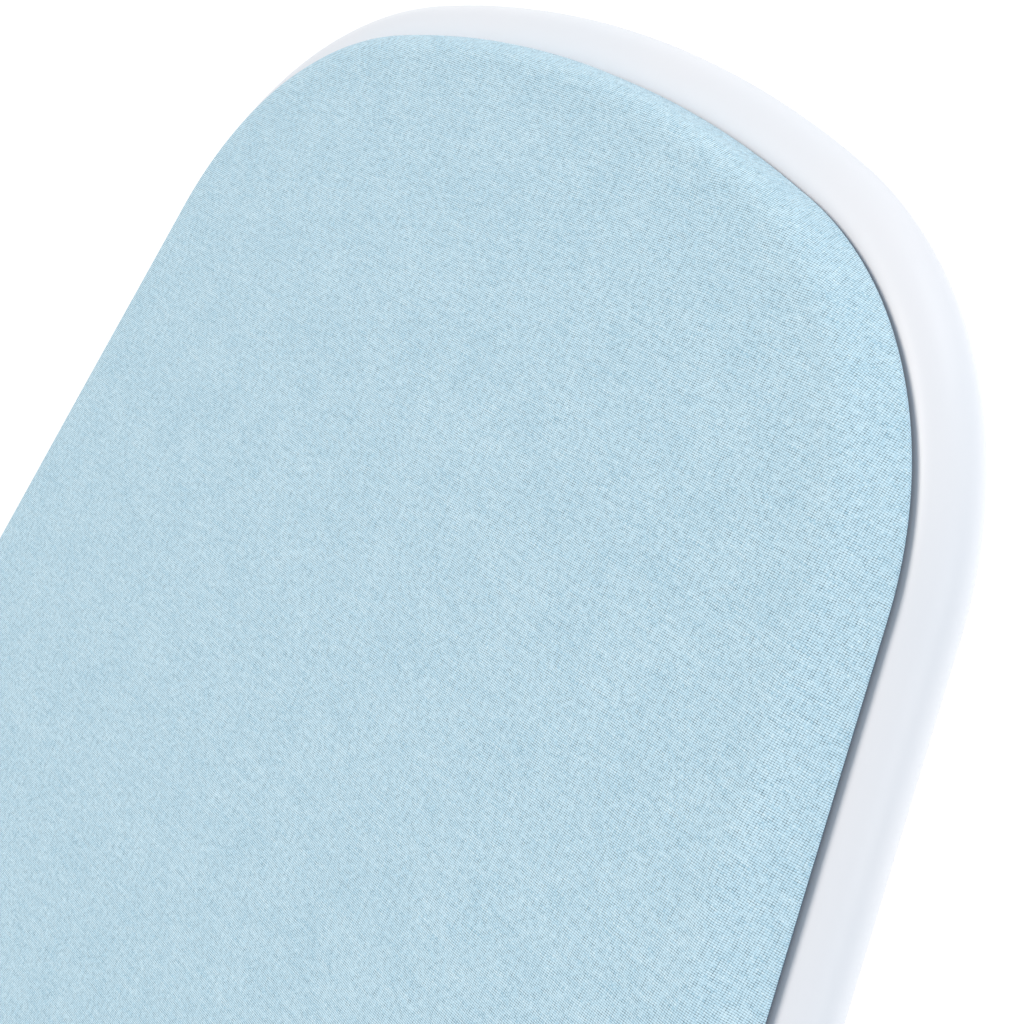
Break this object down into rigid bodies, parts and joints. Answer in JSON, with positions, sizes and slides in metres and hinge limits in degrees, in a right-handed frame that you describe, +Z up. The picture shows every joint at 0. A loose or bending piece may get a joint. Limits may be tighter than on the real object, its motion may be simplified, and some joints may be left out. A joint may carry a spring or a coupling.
{
  "type": "ironing board",
  "caption": "Folding ironing board with a padded, rounded-nose top in a white tube rim, scissor legs, height lever and pull-out iron rest.",
  "frame": {"origin": "on the floor under the middle of the whole length, iron rest pulled out", "axes": "+X towards the rounded nose, +Y to the left side, +Z up"},
  "size_m": [1.4179, 0.38, 0.8946],
  "materials": {
    "cover_fabric": "light blue heathered linen-look plain weave",
    "felt": "needled felt",
    "hardboard": "smooth hardboard",
    "white_enamel": "glossy white powder coat",
    "zinc_steel": "zinc plated",
    "grey_plastic": "fine moulded texture",
    "foot_rubber": "matt grey rubber",
    "chromed_wire": "bright",
    "silicone": "soft matt silicone"
  },
  "bodies": {
    "top": {"fabric_cover": "cover_fabric", "felt_pad": "felt", "deck_panel": "hardboard", "rim_nose_tube": "white_enamel", "rim_tail_tube": "white_enamel", "rim_joint_sleeves": "zinc_steel", "tail_cross_member": "white_enamel", "pivot_cross_member": "white_enamel", "middle_cross_member": "white_enamel", "front_cross_member": "white_enamel", "nose_cross_member": "white_enamel", "panel_screws": "zinc_steel", "left_pivot_bracket": "zinc_steel", "right_pivot_bracket": "zinc_steel", "pivot_rod": "zinc_steel", "pivot_rod_caps": "grey_plastic", "left_slide_rail": "zinc_steel", "right_slide_rail": "zinc_steel", "rail_rivets": "zinc_steel", "rail_end_stops": "grey_plastic", "left_rest_guide": "grey_plastic", "right_rest_guide": "grey_plastic", "guide_rivets": "zinc_steel", "lever_bracket": "zinc_steel", "lever_hinge_pin": "zinc_steel", "lever_spring": "zinc_steel", "spring_peg": "grey_plastic"},
    "outer_legs": {"left_outer_leg": "white_enamel", "right_outer_leg": "white_enamel", "outer_foot_bar": "white_enamel", "left_outer_foot_cap": "foot_rubber", "right_outer_foot_cap": "foot_rubber", "outer_leg_top_plugs": "grey_plastic", "crossing_rod": "zinc_steel", "crossing_spacers": "zinc_steel", "crossing_nuts": "zinc_steel"},
    "inner_legs": {"left_inner_leg": "white_enamel", "right_inner_leg": "white_enamel", "inner_foot_bar": "white_enamel", "left_inner_foot_cap": "foot_rubber", "right_inner_foot_cap": "foot_rubber", "inner_leg_top_plugs": "grey_plastic", "inner_leg_top_sleeve": "white_enamel", "inner_leg_brace": "white_enamel"},
    "slide_carriage": {"slide_rod": "zinc_steel", "left_glide": "grey_plastic", "right_glide": "grey_plastic"},
    "iron_rest": {"iron_rest_frame": "chromed_wire", "iron_rest_cross_wires": "chromed_wire", "iron_heel_stop": "chromed_wire", "iron_rest_pads": "silicone", "iron_rest_collars": "chromed_wire"},
    "release_lever": {"lever_bar": "zinc_steel", "lever_grip": "grey_plastic", "height_comb": "zinc_steel"}
  },
  "joints": [
    {"name": "leg_fold", "type": "hinge", "parent": "top", "child": "outer_legs", "pos_m": [-0.286, 0, 0.84409], "axis": [0, -1, 0], "range_deg": [0, 57]},
    {"name": "inner_leg_fold", "type": "hinge", "parent": "outer_legs", "child": "inner_legs", "pos_m": [-0.04754, 0, 0.46247], "axis": [0, 1, 0], "range_deg": [0, 114]},
    {"name": "carriage_swivel", "type": "hinge", "parent": "inner_legs", "child": "slide_carriage", "pos_m": [0.19093, 0, 0.84409], "axis": [0, -1, 0], "range_deg": [0, 57]},
    {"name": "iron_rest_slide", "type": "slide", "parent": "top", "child": "iron_rest", "axis": [1, 0, 0], "range_m": [0, 0.195]},
    {"name": "height_lever", "type": "hinge", "parent": "top", "child": "release_lever", "pos_m": [0.274, 0.074, 0.86199], "axis": [-1, 0, 0], "range_deg": [0, 6], "stiffness_Nm_per_rad": 4, "springref_deg": -14.32, "deforming": ["lever_spring"]}
  ],
  "couplings": [
    {"joint": "inner_leg_fold", "follows": "leg_fold", "ratio": 2},
    {"joint": "carriage_swivel", "follows": "leg_fold", "ratio": 1}
  ]
}
